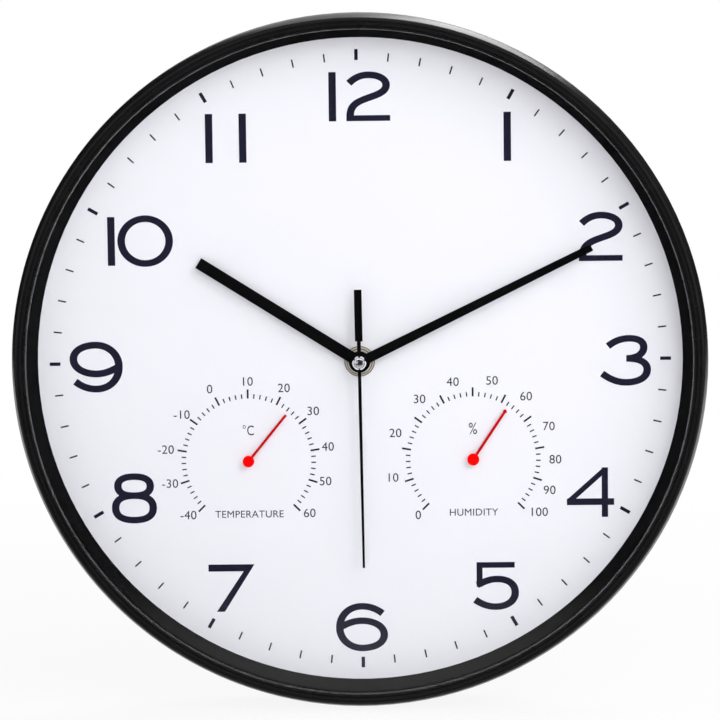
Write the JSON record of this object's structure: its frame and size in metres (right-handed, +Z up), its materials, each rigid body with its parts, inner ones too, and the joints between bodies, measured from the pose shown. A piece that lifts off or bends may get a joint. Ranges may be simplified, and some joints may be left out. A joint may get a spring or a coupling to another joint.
{
  "type": "wall clock",
  "caption": "Round black-rimmed quartz wall clock with white numbered dial, thermometer and hygrometer sub-dials, clear lens and keyhole hanger.",
  "frame": {"origin": "hanging point: where the wall screw's shank rests in the keyhole's slot, on the wall plane", "axes": "+Z up to 12 o'clock, +Y into the wall, -Y towards the viewer, +X to 3 o'clock"},
  "size_m": [0.302, 0.0422, 0.302],
  "materials": {
    "frame_black": "glossy black moulding",
    "lens_clear": "clear flat glass",
    "dial_white": "white printed sheet, satin",
    "plate_white": "plain white moulding",
    "cover_black": "fine-grained black moulding",
    "gauge_case_black": "black moulding",
    "hand_black": "satin black paint on sheet aluminium",
    "pointer_red": "red paint on sheet aluminium",
    "cap_chrome": "polished",
    "nut_nickel": "turned, nickel plated",
    "gasket_rubber": "black rubber",
    "movement_black": "black moulding",
    "wheel_white": "natural white moulding",
    "steel": "zinc plated",
    "magnet_dark": "sintered",
    "winding_copper": "enamelled wire",
    "board_green": "green board",
    "chip_black": "black resin",
    "coil_bimetal": "rolled strip",
    "coil_film": "coated strip",
    "battery_jacket": "plain printed jacket"
  },
  "bodies": {
    "case": {"front_frame": "frame_black", "lens": "lens_clear", "spacer_ring": "frame_black", "dial_sheet": "dial_white", "dial_plate": "plate_white", "back_cover": "cover_black", "back_cover_screws": "steel", "hanger_plate": "steel", "fixing_nut": "nut_nickel", "dial_washer": "nut_nickel", "movement_gasket": "gasket_rubber", "movement_housing": "movement_black", "movement_lid": "movement_black", "stator_plate": "steel", "coil_core": "steel", "coil_bobbin": "wheel_white", "coil_winding": "winding_copper", "circuit_board": "board_green", "circuit_chip": "chip_black", "quartz_crystal": "steel", "positive_contact": "steel", "negative_contact": "steel", "thermometer_case": "gauge_case_black", "hygrometer_case": "gauge_case_black", "thermometer_coil": "coil_bimetal", "hygrometer_coil": "coil_film", "gauge_screws": "steel"},
    "second_hand": {"second_hand": "hand_black", "second_hand_cap": "cap_chrome", "second_arbor": "steel", "second_wheel": "wheel_white"},
    "minute_hand": {"minute_hand": "hand_black", "minute_pipe": "wheel_white", "clutch_spring": "steel"},
    "hour_hand": {"hour_hand": "hand_black", "hour_wheel": "wheel_white"},
    "motion_wheel": {"motion_wheel": "wheel_white", "setting_knob": "movement_black"},
    "centre_wheel": {"centre_wheel": "wheel_white"},
    "third_wheel": {"third_wheel": "wheel_white"},
    "intermediate_wheel": {"intermediate_wheel": "wheel_white"},
    "rotor": {"rotor_pinion": "wheel_white", "rotor_magnet": "magnet_dark"},
    "thermometer_needle": {"thermometer_pointer": "pointer_red", "thermometer_arbor": "steel"},
    "hygrometer_needle": {"hygrometer_pointer": "pointer_red", "hygrometer_arbor": "steel"},
    "battery": {"battery": "battery_jacket"}
  },
  "joints": [
    {"name": "second_hand_turn", "type": "hinge", "parent": "case", "child": "second_hand", "pos_m": [0, -0.012, -0.105], "axis": [0, 1, 0], "continuous": true},
    {"name": "intermediate_wheel_turn", "type": "hinge", "parent": "case", "child": "intermediate_wheel", "pos_m": [-0.01255, -0.012, -0.1039], "axis": [0, 1, 0], "continuous": true},
    {"name": "rotor_turn", "type": "hinge", "parent": "case", "child": "rotor", "pos_m": [-0.01425, -0.012, -0.09425], "axis": [0, 1, 0], "continuous": true},
    {"name": "third_wheel_turn", "type": "hinge", "parent": "case", "child": "third_wheel", "pos_m": [0.01182, -0.012, -0.10183], "axis": [0, 1, 0], "continuous": true},
    {"name": "centre_wheel_turn", "type": "hinge", "parent": "case", "child": "centre_wheel", "pos_m": [0, -0.012, -0.105], "axis": [0, 1, 0], "continuous": true},
    {"name": "minute_hand_turn", "type": "hinge", "parent": "case", "child": "minute_hand", "pos_m": [0, -0.012, -0.105], "axis": [0, 1, 0], "continuous": true},
    {"name": "motion_wheel_turn", "type": "hinge", "parent": "case", "child": "motion_wheel", "pos_m": [0, -0.012, -0.092], "axis": [0, 1, 0], "continuous": true},
    {"name": "hour_hand_turn", "type": "hinge", "parent": "case", "child": "hour_hand", "pos_m": [0, -0.012, -0.105], "axis": [0, 1, 0], "continuous": true},
    {"name": "thermometer_turn", "type": "hinge", "parent": "case", "child": "thermometer_needle", "pos_m": [-0.049, -0.012, -0.1483], "axis": [0, 1, 0], "range_deg": [-174.35, 95.65], "stiffness_Nm_per_rad": 0.002, "deforming": ["thermometer_coil"]},
    {"name": "hygrometer_turn", "type": "hinge", "parent": "case", "child": "hygrometer_needle", "pos_m": [0.049, -0.012, -0.1483], "axis": [0, 1, 0], "range_deg": [-168.65, 101.35], "stiffness_Nm_per_rad": 0.002, "deforming": ["hygrometer_coil"]},
    {"name": "battery_slide", "type": "slide", "parent": "case", "child": "battery", "axis": [0, 1, 0], "range_m": [0, 0.03]}
  ],
  "couplings": [
    {"joint": "intermediate_wheel_turn", "follows": "second_hand_turn", "ratio": -5},
    {"joint": "rotor_turn", "follows": "second_hand_turn", "ratio": 30},
    {"joint": "third_wheel_turn", "follows": "second_hand_turn", "ratio": -0.125},
    {"joint": "centre_wheel_turn", "follows": "second_hand_turn", "ratio": 0.016667},
    {"joint": "motion_wheel_turn", "follows": "minute_hand_turn", "ratio": -0.33333},
    {"joint": "hour_hand_turn", "follows": "minute_hand_turn", "ratio": 0.083333}
  ]
}
